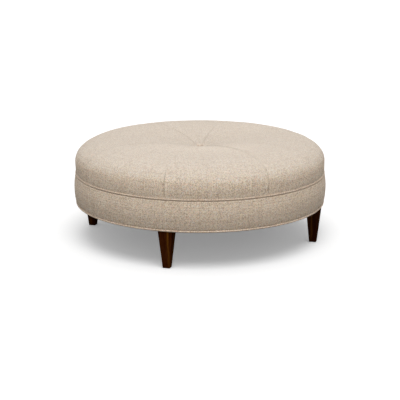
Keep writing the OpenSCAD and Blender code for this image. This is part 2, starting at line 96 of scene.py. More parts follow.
def hangLamp(name, setup, cameraAzimuth):
    data = bpy.data.lights.new(name, "SUN")
    data.energy = setup["power"]
    data.angle = math.radians(setup["spread"])
    lamp = bpy.data.objects.new(name, data)
    swing = math.radians(cameraAzimuth + setup["swing"])
    lean = math.radians(setup["lean"])
    towards = Vector((math.sin(swing) * math.sin(lean), -math.cos(swing) * math.sin(lean), math.cos(lean)))
    lamp.location = towards * 4
    lamp.rotation_euler = (-towards).to_track_quat("-Z", "Y").to_euler()
    scene.collection.objects.link(lamp)


placeCamera(cameraSetup)
for lampName, lampSetup in studio["lamps"].items():
    hangLamp(lampName, lampSetup, cameraSetup["azimuth"])
print("camera and light placed")

# node helpers


class Recipe:
    # one material's nodes, with a short call for each kind that the finishes here use
    def __init__(self, name):
        self.material = bpy.data.materials.new(name)
        self.material.use_nodes = True
        self.tree = self.material.node_tree
        self.shader = self.tree.nodes["Principled BSDF"]

    def plug(self, socket, value):
        if isinstance(value, bpy.types.NodeSocket):
            self.tree.links.new(value, socket)
        else:
            socket.default_value = value

    def math(self, operation, first, second=0.0):
        made = self.tree.nodes.new("ShaderNodeMath")
        made.operation = operation
        self.plug(made.inputs[0], first)
        self.plug(made.inputs[1], second)
        return made.outputs[0]

    def steps(self, value, *moves):
        # a chain of sums on one value, such as ("MULTIPLY", 2), ("ADD", 1)
        for operation, number in moves:
            value = self.math(operation, value, number)
        return value

    def split(self, vector):
        made = self.tree.nodes.new("ShaderNodeSeparateXYZ")
        self.plug(made.inputs[0], vector)
        return made.outputs

    def bundle(self, x, y, z):
        made = self.tree.nodes.new("ShaderNodeCombineXYZ")
        for socket, value in zip(made.inputs, (x, y, z)):
            self.plug(socket, value)
        return made.outputs[0]

    def noiseOutputs(self, vector, scale, detail, roughness, distortion=0.0):
        made = self.tree.nodes.new("ShaderNodeTexNoise")
        self.plug(made.inputs["Vector"], vector)
        made.inputs["Scale"].default_value = scale
        made.inputs["Detail"].default_value = detail
        made.inputs["Roughness"].default_value = roughness
        made.inputs["Distortion"].default_value = distortion
        return made.outputs

    def noise(self, vector, scale, detail=2.0, roughness=0.5, distortion=0.0):
        return self.noiseOutputs(vector, scale, detail, roughness, distortion)["Fac"]

    def cloud(self, vector, scale, detail=1.0, roughness=0.5):
        # three noises in one, as red, green and blue
        return self.split(self.noiseOutputs(vector, scale, detail, roughness)["Color"])

    def dice(self, vector):
        # three random numbers that change from one whole place to the next
        made = self.tree.nodes.new("ShaderNodeTexWhiteNoise")
        made.noise_dimensions = "3D"
        self.plug(made.inputs["Vector"], vector)
        return self.split(made.outputs["Color"])

    def choose(self, share, first, second):
        # the first where share is 0, the second where it is 1
        made = self.tree.nodes.new("ShaderNodeMix")
        made.data_type = "FLOAT"
        self.plug(made.inputs[0], share)
        self.plug(made.inputs[2], first)
        self.plug(made.inputs[3], second)
        return made.outputs[0]

    def ramp(self, value, *stops):
        made = self.tree.nodes.new("ShaderNodeValToRGB")
        self.plug(made.inputs[0], value)
        line = made.color_ramp
        while len(line.elements) < len(stops):
            line.elements.new(0.5)
        for element, (place, colour) in zip(line.elements, stops):
            element.position = place
            element.color = (*colour, 1.0)
        return made.outputs["Color"]

    def blend(self, share, first, second, way="MIX"):
        made = self.tree.nodes.new("ShaderNodeMix")
        made.data_type = "RGBA"
        made.blend_type = way
        self.plug(made.inputs[0], share)
        self.plug(made.inputs[6], first)
        self.plug(made.inputs[7], second)
        return made.outputs[2]

    def stretch(self, value, low, high, newLow=0.0, newHigh=1.0):
        made = self.tree.nodes.new("ShaderNodeMapRange")
        self.plug(made.inputs["Value"], value)
        made.inputs["From Min"].default_value = low
        made.inputs["From Max"].default_value = high
        made.inputs["To Min"].default_value = newLow
        made.inputs["To Max"].default_value = newHigh
        return made.outputs["Result"]

    def place(self):
        return self.tree.nodes.new("ShaderNodeTexCoord").outputs["Object"]

    def carried(self, name, output="Vector"):
        made = self.tree.nodes.new("ShaderNodeAttribute")
        made.attribute_name = name
        return made.outputs[output]

    def scaled(self, vector, sizes):
        made = self.tree.nodes.new("ShaderNodeVectorMath")
        made.operation = "MULTIPLY"
        self.plug(made.inputs[0], vector)
        made.inputs[1].default_value = sizes
        return made.outputs["Vector"]

    def raise_(self, height, distance, strength=1.0):
        made = self.tree.nodes.new("ShaderNodeBump")
        made.inputs["Strength"].default_value = strength
        made.inputs["Distance"].default_value = distance
        self.plug(made.inputs["Height"], height)
        self.plug(self.shader.inputs["Normal"], made.outputs["Normal"])

    def finish(self, **values):
        names = {"colour": "Base Color", "roughness": "Roughness", "metal": "Metallic",
                 "gloss": "Specular IOR Level", "sheen": "Sheen Weight",
                 "sheenRoughness": "Sheen Roughness", "sheenTint": "Sheen Tint"}
        for key, value in values.items():
            self.plug(self.shader.inputs[names[key]], value)
        return self.material


# upholstery cloth: a plain weave of thick heathered yarns, oatmeal with tan, grey and rose in it

cloth = {
    "yarn": 0.0030,  # width of one yarn, metres
    "slub": 0.0075,  # length over which a yarn keeps its shade
    "wander": 0.22,  # how far yarns stray, in yarns
    "wanderScale": 45.0,
    "relief": 0.0007,  # depth of the weave
    "reliefStrength": 0.7,
    "fuzzRelief": 0.35,
    "ownShade": 0.20,  # how much yarns differ as a whole, along their length and at each crossing
    "slubShade": 0.72,
    "crossingShade": 0.45,
    "fuzz": 0.16,
    "fuzzScale": 1100.0,
    "slubHue": 0.72,
    "crossingHue": 0.28,
    "pitShade": 0.76,  # painted shade: how pale the cloth still is in the pits between the yarns
    "crease": (0.25, 0.26, 0.27),  # painted shade: how much darker the cloth is deep in a seam or fold
    # the six settings below follow the pictured light and aren't known wear or fading of the cloth
    "leaningLight": (1.02, 1.05, 1.085),  # the colour of faces that lean back is multiplied by this
    "leaningFrom": (0.10, 0.52),
    "level": (0.641, 0.570, 0.503),  # and that of level ones is mixed with this
    "levelFrom": (0.25, 0.95),
    "paintedLevelLightShare": 0.53,
    "paintedLightStep": 0.055,  # painted light and shade: how much paler a tone mark of 1 makes the cloth, and one of -1 darker
    "shades": (
        (0.10, (0.365, 0.245, 0.155)),
        (0.36, (0.675, 0.520, 0.390)),
        (0.60, (0.930, 0.780, 0.630)),
        (0.90, (1.000, 0.940, 0.820)),
    ),
    "hues": (
        (0.32, (0.94, 1.00, 1.12)),
        (0.47, (1.00, 1.00, 1.00)),
        (0.56, (0.99, 1.02, 0.88)),
        (0.70, (1.12, 0.94, 0.96)),
    ),
}


def clothMaterial(name, look, bias=False, paintedShadeTint=(1.0, 1.0, 1.0)):
    made = Recipe(name)
    across, along, seed = made.split(made.carried("weave"))
    if bias:  # welts are cut at 45 degrees to the yarns
        across, along = (
            made.steps(made.math("ADD", across, along), ("MULTIPLY", 0.7071)),
            made.steps(made.math("SUBTRACT", along, across), ("MULTIPLY", 0.7071)),
        )
    flat = made.bundle(across, along, seed)
    stray = made.cloud(flat, look["wanderScale"])
    warp = made.math("ADD", made.steps(across, ("DIVIDE", look["yarn"])),
                     made.steps(stray[0], ("MULTIPLY", 2 * look["wander"])))
    weft = made.math("ADD", made.steps(along, ("DIVIDE", look["yarn"])),
                     made.steps(stray[1], ("MULTIPLY", 2 * look["wander"])))
    warpNumber = made.math("FLOOR", warp)
    weftNumber = made.math("FLOOR", weft)
    # 1 where the lengthwise yarn lies on top, 0 where the crosswise one does
    onTop = made.math("FLOORED_MODULO", made.math("ADD", warpNumber, weftNumber), 2.0)
    overWidth = made.choose(onTop, made.math("FRACT", weft), made.math("FRACT", warp))
    overLength = made.choose(onTop, made.math("FRACT", warp), made.math("FRACT", weft))
    round_ = made.math("SINE", made.steps(overWidth, ("MULTIPLY", math.pi)))
    hump = made.math("SINE", made.steps(overLength, ("MULTIPLY", math.pi)))
    height = made.math("MULTIPLY", made.math("POWER", round_, 0.7),
                       made.steps(hump, ("MULTIPLY", 0.45), ("ADD", 0.55)))

    # each yarn has a shade and a hue of its own, which drift along it
    warpPlace = made.steps(warpNumber, ("ADD", 0.5))
    weftPlace = made.steps(weftNumber, ("ADD", 0.5))
    seedPlace = made.steps(seed, ("ADD", 0.25))
    own = made.choose(onTop, made.steps(weftNumber, ("ADD", 4000.5)), warpPlace)
    run = made.choose(onTop, across, along)
    dice = made.dice(made.bundle(own, seedPlace, 1.0))
    crossing = made.dice(made.bundle(warpPlace, weftPlace, seedPlace))
    lane = made.steps(own, ("MULTIPLY", 13.37))
    drift = made.cloud(made.bundle(lane, made.steps(run, ("DIVIDE", look["slub"])), seed), 1.0, 2.0, 0.6)
    fuzz = made.noise(flat, look["fuzzScale"], 1.0)
    shade = made.steps(drift[0], ("SUBTRACT", 0.5), ("MULTIPLY", look["slubShade"]), ("ADD", 0.5))
    for source, amount in ((dice[0], "ownShade"), (crossing[0], "crossingShade"), (fuzz, "fuzz")):
        shade = made.math("ADD", shade, made.steps(source, ("SUBTRACT", 0.5), ("MULTIPLY", look[amount])))
    hue = made.math("ADD", made.steps(drift[1], ("MULTIPLY", look["slubHue"])),
                    made.steps(crossing[1], ("MULTIPLY", look["crossingHue"])))
    colour = made.ramp(shade, *look["shades"])
    colour = made.blend(1.0, colour, made.ramp(hue, *look["hues"]), "MULTIPLY")
    # painted shade in the pits between the yarns
    paintedPitShade = made.stretch(height, 0.0, 0.8, look["pitShade"], 1.0)
    colour = made.blend(1.0, colour, made.bundle(paintedPitShade, paintedPitShade, paintedPitShade), "MULTIPLY")
    # painted light: faces that lean back are made paler, and level ones are mixed with a set colour, by how
    # far they face up
    upward = made.carried("upward", "Fac")
    colour = made.blend(made.stretch(upward, *look["leaningFrom"]), colour,
                        made.blend(1.0, colour, (*look["leaningLight"], 1.0), "MULTIPLY"))
    paintedLevelLightShare = made.stretch(upward, *look["levelFrom"], 0.0, look["paintedLevelLightShare"])
    colour = made.blend(paintedLevelLightShare, colour, (*look["level"], 1.0))
    # painted light and shade: the tone mark makes the cloth paler or darker
    tone = made.steps(made.carried("tone", "Fac"), ("MULTIPLY", look["paintedLightStep"]), ("ADD", 1.0))
    colour = made.blend(1.0, colour, made.bundle(tone, tone, tone), "MULTIPLY")
    # painted shade deep in seams and folds, and a painted highlight on the ridges beside the seams
    crease = made.carried("crease", "Fac")
    depths = [made.steps(crease, ("MULTIPLY", -depth), ("ADD", 1.0)) for depth in look["crease"]]
    colour = made.blend(1.0, colour, made.bundle(*depths), "MULTIPLY")
    # painted shade: an optional darkening of the whole cloth
    if paintedShadeTint != (1.0, 1.0, 1.0):
        colour = made.blend(1.0, colour, (*paintedShadeTint, 1.0), "MULTIPLY")
    made.raise_(made.math("ADD", height, made.steps(fuzz, ("MULTIPLY", look["fuzzRelief"]))),
                look["relief"], look["reliefStrength"])
    return made.finish(colour=colour, roughness=0.92, gloss=0.15,
                       sheen=0.08, sheenRoughness=0.5, sheenTint=(1.0, 1.0, 1.0, 1.0))


coverCloth = clothMaterial("coverCloth", cloth)
# painted shade: the welts' cloth is made a little darker than the cover's
weltCloth = clothMaterial("weltCloth", cloth, bias=True, paintedShadeTint=(0.955, 0.93, 0.925))
print("cloth woven")

# legs: dark stained wood with a straight grain and one paler streak in a face

legWood = {
    "turns": {"leg_front_left": 225, "leg_front_right": 315, "leg_back_left": 135, "leg_back_right": 45},
    "circle": 0.5165,  # radius on which the legs stand
    "streakAt": {"leg_front_left": (0.0, 0.0123), "leg_front_right": (-0.004, 0.0),
                 "leg_back_left": (0.003, -0.006), "leg_back_right": (-0.006, 0.004)},
    "streakWidth": 0.0036,
    "bend": 0.012,  # how far the grain strays
    # how strong the wood's colour is on each leg: the darker legs are painted shade, not a stain known to
    # differ
    "paintedLegShade": {"leg_front_left": 1.0, "leg_front_right": 0.62, "leg_back_left": 0.62, "leg_back_right": 0.8},
    "shades": (
        (0.30, (0.017, 0.0024, 0.0006)),
        (0.50, (0.047, 0.0105, 0.0019)),
        (0.72, (0.105, 0.0310, 0.0055)),
    ),
    "streak": (0.235, 0.092, 0.009),
}


def legMaterial(name, look):
    made = Recipe("stainedWood_" + name)
    turn = math.radians(look["turns"][name])
    x, y, z = made.split(made.place())
    outward = made.math("SUBTRACT", made.math("ADD", made.steps(x, ("MULTIPLY", math.cos(turn))),
                                              made.steps(y, ("MULTIPLY", math.sin(turn)))), look["circle"])
    sideways = made.math("ADD", made.steps(x, ("MULTIPLY", -math.sin(turn))),
                         made.steps(y, ("MULTIPLY", math.cos(turn))))
    own = look["turns"][name] * 0.01
    bend = made.steps(made.noise(made.bundle(outward, sideways, made.steps(z, ("ADD", own))), 14.0, 2.0),
                      ("SUBTRACT", 0.5), ("MULTIPLY", look["bend"]))
    outward = made.math("ADD", outward, bend)
    sideways = made.math("ADD", sideways, bend)
    broadPlace = made.bundle(outward, sideways, made.steps(z, ("MULTIPLY", 0.05), ("ADD", own)))
    broad = made.noise(broadPlace, 130.0, 3.0, 0.6)
    finePlace = made.bundle(outward, sideways, made.steps(z, ("MULTIPLY", 0.03), ("ADD", own)))
    fine = made.noise(finePlace, 900.0, 4.0, 0.7)
    shade = made.math("ADD", made.steps(broad, ("MULTIPLY", 0.6)), made.steps(fine, ("MULTIPLY", 0.4)))
    # painted shade: the darker legs, and their streaks, are dimmed by this
    paintedLegShade = look["paintedLegShade"][name]
    shades = [(at, tuple(paintedLegShade * value for value in tone)) for at, tone in look["shades"]]
    colour = made.ramp(shade, *shades)
    placeX, placeY = look["streakAt"][name]
    streak = 0.0
    for coordinate, middle in ((sideways, placeY), (outward, placeX)):
        far = made.steps(made.math("ABSOLUTE", made.steps(coordinate, ("SUBTRACT", middle))),
                         ("DIVIDE", look["streakWidth"]))
        near = made.math("POWER", 2.718, made.steps(made.math("MULTIPLY", far, far), ("MULTIPLY", -1.0)))
        streak = made.math("MAXIMUM", near, streak)
    streak = made.math("MULTIPLY", streak, made.stretch(fine, 0.35, 0.6, 0.35, 1.0))
    streak = made.math("MULTIPLY", streak, made.stretch(z, 0.0, 0.14, 0.2 * paintedLegShade, 0.75 * paintedLegShade))
    colour = made.blend(streak, colour, (*look["streak"], 1.0))
    made.raise_(fine, 0.00025, 0.35)
    return made.finish(colour=colour, roughness=made.stretch(fine, 0.3, 0.7, 0.42, 0.58), gloss=0.0)


# plain finishes of the pieces that the covers hide, and of the small parts under the ottoman


def grainMaterial(name, pale, dark, grain=(6.0, 90.0, 90.0), roughness=0.7):
    made = Recipe(name)
    place = made.scaled(made.place(), grain)
    rings = made.noise(place, 1.0, 3.0, 0.6, 0.6)
    pores = made.noise(made.scaled(place, (4.0, 7.0, 7.0)), 1.0, 2.0)
    shade = made.math("ADD", made.steps(rings, ("MULTIPLY", 0.75)), made.steps(pores, ("MULTIPLY", 0.25)))
    colour = made.ramp(shade, (0.35, dark), (0.6, pale))
    made.raise_(pores, 0.0002, 0.4)
    return made.finish(colour=colour, roughness=roughness, gloss=0.3)


def plyMaterial():
    made = Recipe("plywood")
    x, y, z = made.split(made.place())
    layer = made.math("SINE", made.steps(z, ("MULTIPLY", 2 * math.pi / 0.0040)))
    facePlace = made.bundle(made.steps(x, ("MULTIPLY", 5.0)), made.steps(y, ("MULTIPLY", 80.0)), z)
    face = made.noise(facePlace, 1.0, 3.0, 0.6, 0.5)
    shade = made.math("ADD", made.steps(layer, ("MULTIPLY", 0.12)), face)
    colour = made.ramp(shade, (0.3, (0.44, 0.29, 0.15)), (0.7, (0.70, 0.53, 0.33)))
    made.raise_(face, 0.0002, 0.4)
    return made.finish(colour=colour, roughness=0.75, gloss=0.3)


def speckledMaterial(name, dark, pale, scale, relief, **looks):
    made = Recipe(name)
    place = made.place()
    coarse = made.noise(place, scale, 3.0, 0.6)
    made.raise_(made.noise(place, scale * 4, 2.0), relief, 0.6)
    return made.finish(colour=made.ramp(coarse, (0.35, dark), (0.65, pale)), **looks)


def juteMaterial():
    made = Recipe("jute")
    x, y, _ = made.split(made.place())
    threads = [made.math("ABSOLUTE", made.math("SINE", made.steps(value, ("MULTIPLY", math.pi / 0.0024))))
               for value in (x, y)]
    height = made.math("MULTIPLY", *threads)
    strands = made.noise(made.place(), 240.0, 3.0, 0.6)
    shade = made.math("ADD", made.steps(height, ("MULTIPLY", 0.35)), made.steps(strands, ("MULTIPLY", 0.65)))
    colour = made.ramp(shade, (0.2, (0.20, 0.12, 0.055)), (0.65, (0.50, 0.36, 0.19)))
    made.raise_(height, 0.0006, 0.8)
    return made.finish(colour=colour, roughness=0.9, gloss=0.15)


finishes = {
    "nylon": speckledMaterial("nylon", (0.018, 0.018, 0.018), (0.030, 0.030, 0.030), 700.0, 0.0001,
                              roughness=0.55, gloss=0.4),
    "pine": grainMaterial("pine", (0.78, 0.60, 0.36), (0.58, 0.38, 0.18)),
    "plywood": plyMaterial(),
    "hardboard": speckledMaterial("hardboard", (0.13, 0.065, 0.028), (0.22, 0.12, 0.055), 420.0, 0.0001,
                                  roughness=0.7, gloss=0.3),
    "steel": speckledMaterial("steel", (0.46, 0.47, 0.50), (0.66, 0.67, 0.70), 500.0, 0.00005,
                              roughness=0.34, metal=1.0),
    "dust_cloth": speckledMaterial("dustCloth", (0.010, 0.010, 0.011), (0.026, 0.026, 0.028), 900.0, 0.0002,
                                   roughness=0.95, gloss=0.2, sheen=0.3, sheenRoughness=0.5),
    "fibre": speckledMaterial("fibre", (0.74, 0.74, 0.72), (0.88, 0.88, 0.86), 260.0, 0.001,
                              roughness=0.95, gloss=0.1, sheen=0.3, sheenRoughness=0.5),
    "foam": speckledMaterial("foam", (0.70, 0.62, 0.36), (0.84, 0.77, 0.50), 600.0, 0.0004,
                             roughness=0.95, gloss=0.1),
    "jute": juteMaterial(),
    "upholstery": coverCloth,
}

for part in frame["record"]["subparts"]:
    node = frame["nodes"][part["node"]]
    kind = part["material_slot"]
    node.data.materials.clear()
    node.data.materials.append(legMaterial(node.name, legWood) if kind == "leg_wood" else finishes[kind])
print("carried-over nodes finished")

# mesh helpers


def dressPiece(name, mesh, material, nodes):
    # a new piece that stands for its nodes, rides on the body and has one material
    piece = bpy.data.objects.new(name, mesh)
    scene.collection.objects.link(piece)
    mesh.materials.append(material)
    for face in mesh.polygons:
        face.use_smooth = True
    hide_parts(*nodes)
    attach(piece, "root")
    return piece


def gridFaces(rows, columns, closed):
    # quads between rows of points; a closed grid joins its last column to its first
    faces = []
    for i in range(rows - 1):
        for j in range(columns if closed else columns - 1):
            k = (j + 1) % columns
            a, b = i * columns, (i + 1) * columns
            faces.append((a + j, a + k, b + k, b + j))
    return faces


def gridNormals(points, closed):
    # points is rows by columns by 3, and for a cover drawn from its hem upwards the normals point out of it
    if closed:
        sideways = np.roll(points, -1, axis=1) - np.roll(points, 1, axis=1)
    else:
        sideways = np.gradient(points, axis=1)
    upwards = np.gradient(points, axis=0)
    normals = np.cross(sideways, upwards)
    return normals / np.maximum(np.linalg.norm(normals, axis=2, keepdims=True), 1e-12)


def shellMesh(name, outer, weave, thickness, closed, **marks):
    # a sewn cover: the outer grid, an inner one under it and a rim that joins their edges
    rows, columns = outer.shape[:2]
    inner = outer - gridNormals(outer, closed) * thickness
    count = rows * columns
    faces = gridFaces(rows, columns, closed)
    faces += [tuple(count + v for v in reversed(face)) for face in gridFaces(rows, columns, closed)]
    last = columns if closed else columns - 1
    for j in range(last):
        k = (j + 1) % columns
        faces.append((k, j, count + j, count + k))
        top = (rows - 1) * columns
        faces.append((top + j, top + k, count + top + k, count + top + j))
    if not closed:
        for i in range(rows - 1):
            a, b = i * columns, (i + 1) * columns
            faces.append((a, b, count + b, count + a))
            a, b = a + columns - 1, b + columns - 1
            faces.append((b, a, count + a, count + b))
    mesh = bpy.data.meshes.new(name)
    mesh.from_pydata(np.concatenate([outer.reshape(-1, 3), inner.reshape(-1, 3)]).tolist(), [], faces)
    carryWeave(mesh, np.concatenate([weave.reshape(-1, 3)] * 2))
    for mark, values in marks.items():
        carryMark(mesh, mark, np.tile(values.ravel(), 2))
    mesh.update()
    return mesh


def carryWeave(mesh, values):
    layer = mesh.attributes.new("weave", "FLOAT_VECTOR", "POINT")
    layer.data.foreach_set("vector", values.astype(np.float32).ravel())


def carryMark(mesh, name, values):
    layer = mesh.attributes.new(name, "FLOAT", "POINT")
    layer.data.foreach_set("value", values.astype(np.float32))


def wavy(angle, seed, count, low, high):
    # a smooth closed wave round the ottoman, made of a few whole harmonics
    draw = np.random.default_rng(seed)
    total = np.zeros_like(angle)
    for number in draw.integers(low, high, count):
        total += draw.uniform(0.5, 1.0) * np.sin(number * angle + draw.uniform(0, 2 * math.pi))
    return total / count


# cushion: eight wedge panels, crowned, sewn along their edges and drawn in by a tuft

lowWelt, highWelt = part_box("seat_welt")
welt = {
    "radius": (highWelt.z - lowWelt.z) / 2,
    "height": (highWelt.z + lowWelt.z) / 2,
    "line": highWelt.x - (highWelt.z - lowWelt.z) / 2,  # radius of the circle that the welts follow
}

cushion = {
    "panels": 8,
    "reach": 0.0028,  # how far the side stands out past the welts' line
    "sideHeight": 0.047,
    "tuck": 0.0014,  # how far the side draws in towards the welt
    "tuckSharp": 2.2,
    "shoulderWidth": 0.180,
    "shoulderHeight": 0.091,
    "fullness": 2.3,
    "crown": 0.011,
    "tuftDepth": 0.050,
    "tuftRadius": 0.380,
    "tuftSharp": 2.0,
    "tuftEnd": 0.010,  # the cloth runs in under the button to here
    "thickness": 0.0010,
    "ringStep": 0.0085,
    "panelColumns": 26,
    "seamColumns": (0, 0.0010, 0.0022, 0.0045, 0.0090, 0.0170),  # places of the first columns beside a seam
    "seamGroove": 0.0015,
    "seamWidth": 0.0019,
    "seamSharp": 1.3,
    # how far each seam still shows where the cover is level, to what radius, and how wide
    "onTop": ((0.45, 0.16, 0.0040), (0.8, 0.13, 0.0045), (1.0, 0.26, 0.0040), (0.8, 0.26, 0.0050),
              (1.1, 0.32, 0.0075), (0.3, 0.16, 0.0040), (1.4, 0.34, 0.0085), (0.45, 0.18, 0.0050)),
    "onSide": (0.8, 0.8, 0.9, 0.9, 0.8, 1.0, 0.5, 0.8),
    "tautFar": 0.2,  # what is left of a seam beyond that radius
    "hemGap": 0.0006,  # between the hem and the seat welt
    "hemRise": 0.0010,
    "shownFrom": 0.012,  # seams and waves start this far up from the hem
    "levelFrom": 0.55,
    "levelOver": 0.4,
    "seamSoft": 0.0016,
    "seamSoftWidth": 0.014,
    "ridge": 0.0009,
    "ridgeAt": 0.0065,
    "ridgeWidth": 0.0040,
    # the painted shade along seams and folds: its width, how much weaker it is on the top and in folds, and
    # the painted highlight on the ridges
    "creaseWidth": 0.0025,
    "levelCrease": 0.5,  # how much weaker a seam's painted dark line is on the top
    "foldCrease": 0.55,
    "ridgeHighlight": 0.35,
    "waves": 0.0007,
    "levelDrop": 0.0007,  # how far the top lies back as a whole
    "room": 0.0030,  # between the cover and the padding
    "roomInside": 0.0028,
    # where the cloth is made paler or darker to follow the pictured light: x, y, reach and tone mark
    "paintedLightSpots": ((-0.120, -0.208, 0.13, 1.6), (-0.259, -0.128, 0.13, 1.3), (0.019, -0.288, 0.13, 1.6),
               (0.310, 0.087, 0.15, 0.9), (-0.080, 0.312, 0.15, 0.5), (0.030, 0.052, 0.09, -0.5),
               (0, 0, 0.020, 3.5)),
    # and painted light and shade on the side, darker near the welt and paler higher up: height and tone mark
    "paintedLightByHeight": ((0.302, -2.0), (0.308, -0.9), (0.314, 0.2), (0.326, 1.1), (0.344, 2.2), (0.388, 0.0)),
    "toneSide": 0.4,  # radius beyond which the side's marks count
    "foldsPerPanel": 3,
    "foldDepth": 0.0042,
    "foldWidth": 0.0020,
    "foldStart": 0.012,
    "longFolds": ((62.0, 0.08, 0.003), (106.0, 0.07, 0.003)),  # degrees, run, width
}
cushion["radius"] = welt["line"] + cushion["reach"]
cushion["sideTop"] = welt["height"] + welt["radius"] + cushion["sideHeight"]


def topHeight(radius):
    crown = cushion["crown"] * (1 - (radius / cushion["radius"]) ** 2)
    inside = np.clip(1 - radius / cushion["tuftRadius"], 0, 1)
    hollow = cushion["tuftDepth"] * inside ** cushion["tuftSharp"]
    return cushion["sideTop"] + cushion["shoulderHeight"] + crown - hollow


def cushionProfile():
    # radius, height and length along the cover, from its hem behind the seat welt up to the tuft
    around = np.radians(np.linspace(170, 56, 11))
    hem = welt["radius"] + cushion["hemGap"]
    radius = [welt["line"] + hem * np.cos(around)]
    height = [welt["height"] + hem * np.sin(around)]
    low = height[0][-1] + cushion["hemRise"]
    rise = np.linspace(0, 1, 40)
    radius.append(cushion["radius"] - cushion["tuck"] * (1 - rise) ** cushion["tuckSharp"])
    height.append(low + (cushion["sideTop"] - low) * rise)
    turn = np.linspace(0, math.pi / 2, 120)[1:]
    shoulder = cushion["shoulderWidth"] * np.cos(turn).clip(0) ** (2 / cushion["fullness"])
    radius.append(cushion["radius"] - cushion["shoulderWidth"] + shoulder)
    drop = cushion["shoulderHeight"] * (1 - np.sin(turn) ** (2 / cushion["fullness"]))
    height.append(topHeight(radius[-1]) - drop)
    radius.append(np.linspace(radius[-1][-1], cushion["tuftEnd"], 200)[1:])
    height.append(topHeight(radius[-1]))
    line = np.stack([np.concatenate(radius), np.concatenate(height)], axis=1)
    run = np.concatenate([[0], np.cumsum(np.linalg.norm(np.diff(line, axis=0), axis=1))])
    # closer rings at the hem and near the tuft
    length = run[-1]
    spacing = np.interp(run, [0, 0.02, 0.06, length - 0.16, length - 0.05, length],
                        [0.2, 0.3, 1.0, 1.0, 0.5, 0.35]) * cushion["ringStep"]
    count = np.concatenate([[0], np.cumsum(np.diff(run) / (spacing[1:] + spacing[:-1]) * 2)])
    rings = int(count[-1])
    places = np.interp(np.linspace(0, count[-1], rings + 1), count, run)
    radius, height = (np.interp(places, run, line[:, side]) for side in (0, 1))
    return np.stack([radius, height, places], axis=1)


def settledCover(profile):
    # a plain copy of the whole cover is blown up a little over the foam that holds it, and gives how
    # far each point moves
    settings = {
        "columns": 24,
        "pressure": 6.0,
        "frames": 20,
        "outward": 0.0008,  # the furthest that it may move, metres
        "inward": 0.0005,
        "foamHold": 0.04,
        "seamHold": 0.8,
        "hemRows": 6,
        "tuftRows": 3,
    }
    columns = settings["columns"] * cushion["panels"]
    rows = len(profile)
    angle = np.arange(columns) / columns * 2 * math.pi
    points = np.stack([
        profile[:, 0, None] * np.cos(angle),
        profile[:, 0, None] * np.sin(angle),
        np.repeat(profile[:, 1, None], columns, axis=1),
    ], axis=2)
    flat = points.reshape(-1, 3)
    mesh = bpy.data.meshes.new("coverTrial")
    mesh.from_pydata(flat.tolist(), [], gridFaces(rows, columns, True))
    trial = bpy.data.objects.new("coverTrial", mesh)
    scene.collection.objects.link(trial)
    onSeam = np.arange(columns) % settings["columns"] == 0
    hold = np.full((rows, columns), settings["foamHold"])
    hold[:, onSeam] = settings["seamHold"]
    hold[:settings["hemRows"], :] = 1.0
    hold[-settings["tuftRows"]:, :] = 1.0
    group = trial.vertex_groups.new(name="hold")
    for level in np.unique(hold):
        group.add(np.flatnonzero(hold.ravel() == level).tolist(), float(level), "REPLACE")
    made = trial.modifiers.new("cloth", "CLOTH")
    made.settings.quality = 5
    made.settings.mass = 0.3
    made.settings.tension_stiffness = 25
    made.settings.compression_stiffness = 25
    made.settings.shear_stiffness = 10
    made.settings.bending_stiffness = 0.6
    made.settings.use_pressure = True
    made.settings.uniform_pressure_force = settings["pressure"]
    made.settings.vertex_group_mass = "hold"
    made.settings.effector_weights.gravity = 0
    made.collision_settings.use_collision = False
    made.point_cache.frame_start = 1
    made.point_cache.frame_end = settings["frames"]
    for number in range(1, settings["frames"] + 1):
        scene.frame_set(number)
    settled = trial.evaluated_get(bpy.context.evaluated_depsgraph_get())
    moved = np.zeros(len(flat) * 3)
    settled.data.vertices.foreach_get("co", moved)
    moved = moved.reshape(rows, columns, 3) - points
    bpy.data.objects.remove(trial)
    scene.frame_set(1)
    outward = (moved * gridNormals(points, True)).sum(axis=2)
    print("cover settled, it moved", round(float(outward.min()) * 1000, 2), "to",
          round(float(outward.max()) * 1000, 2), "mm")
    return np.clip(outward, -settings["inward"], settings["outward"]), settings["columns"]


def seamRidge(distance, share):
    return np.where(share < 0.5, np.exp(-((distance - cushion["ridgeAt"]) / cushion["ridgeWidth"]) ** 2), 0)


def seamDip(distance, share, tight):
    # how far the cover lies back near a seam: a narrow groove in a soft dip, beside a ridge where
    # the seam's turned edges are pressed to one side
    groove = cushion["seamGroove"] * np.exp(-(distance / cushion["seamWidth"]) ** cushion["seamSharp"])
    soft = cushion["seamSoft"] * np.exp(-distance / cushion["seamSoftWidth"])
    return tight * (groove + soft - cushion["ridge"] * seamRidge(distance, share))


def paddingRoom(radius):
    # how far the cover can be pressed back before it meets the padding, which lies deeper half-way to
    # the middle
    inside = np.clip(radius / cushion["tuftRadius"], 0, 1)
    return cushion["room"] + cushion["roomInside"] * np.sin(math.pi * inside)


def pressedBack(shift, radius):
    # eases the deepest places off towards the limit
    room = paddingRoom(radius)
    return np.where(shift < 0, -room * np.tanh(-shift / room), shift)


